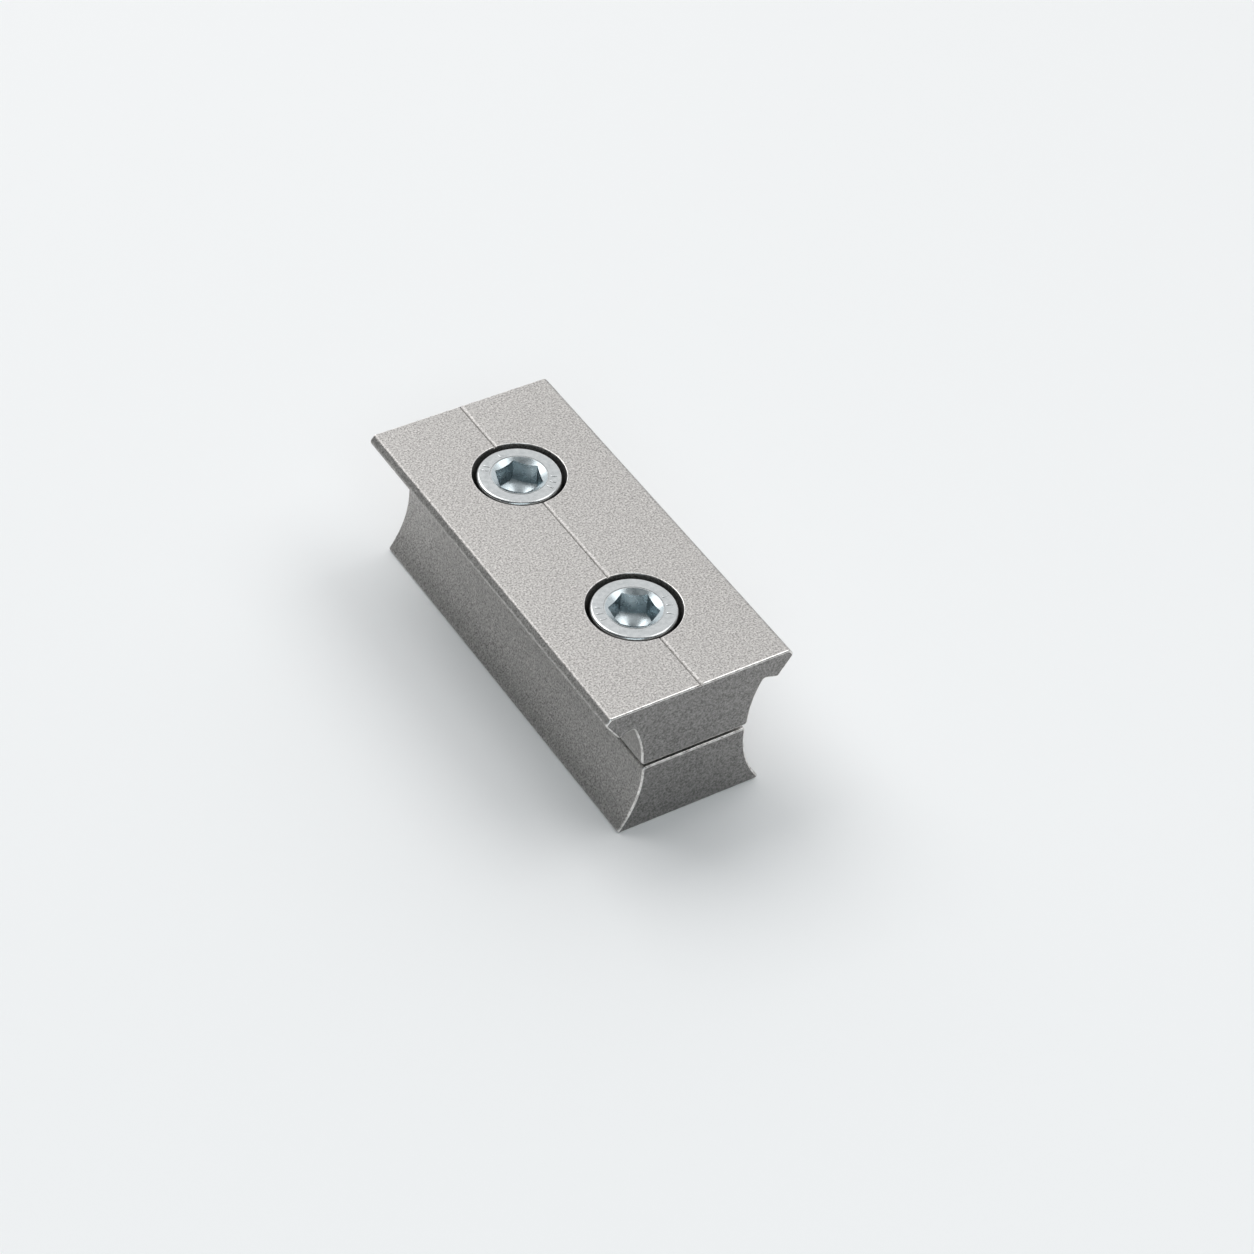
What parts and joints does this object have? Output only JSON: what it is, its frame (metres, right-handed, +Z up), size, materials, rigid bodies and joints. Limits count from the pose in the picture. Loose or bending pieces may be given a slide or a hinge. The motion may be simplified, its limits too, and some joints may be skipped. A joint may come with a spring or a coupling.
{
  "type": "parallel connector",
  "caption": "Two-piece clamp that joins profiles side by side: a hooked upper jaw over a flared lower jaw, with hollow flanks, drawn together by socket head screws.",
  "frame": {"origin": "centre of the lower jaw's flat underside", "axes": "+Y along the jaws, in the direction of the slot; +Z up, out of the screw heads; X across the slot"},
  "size_m": [0.024, 0.053, 0.0189],
  "materials": {
    "jaw_aluminium": "fine blasted, natural",
    "screw_steel": "bright zinc plated"
  },
  "bodies": {
    "upper_jaw": {"upper_jaw": "jaw_aluminium"},
    "lower_jaw": {"lower_jaw": "jaw_aluminium"},
    "front_screw": {"front_screw": "screw_steel"},
    "rear_screw": {"rear_screw": "screw_steel"}
  },
  "joints": [
    {"name": "front_screw_turn", "type": "hinge", "parent": "upper_jaw", "child": "front_screw", "pos_m": [0, -0.01263, 0.01275], "axis": [0, 0, 1], "range_deg": [-144, 720]},
    {"name": "rear_screw_turn", "type": "hinge", "parent": "upper_jaw", "child": "rear_screw", "pos_m": [0, 0.01263, 0.01275], "axis": [0, 0, 1], "range_deg": [-144, 720]},
    {"name": "lower_jaw_travel", "type": "slide", "parent": "upper_jaw", "child": "lower_jaw", "axis": [0, 0, 1], "range_m": [-0.002, 0.0004]}
  ],
  "couplings": [
    {"joint": "front_screw_turn", "follows": "lower_jaw_travel", "rad_per_m": -6283.2},
    {"joint": "rear_screw_turn", "follows": "lower_jaw_travel", "rad_per_m": -6283.2}
  ]
}
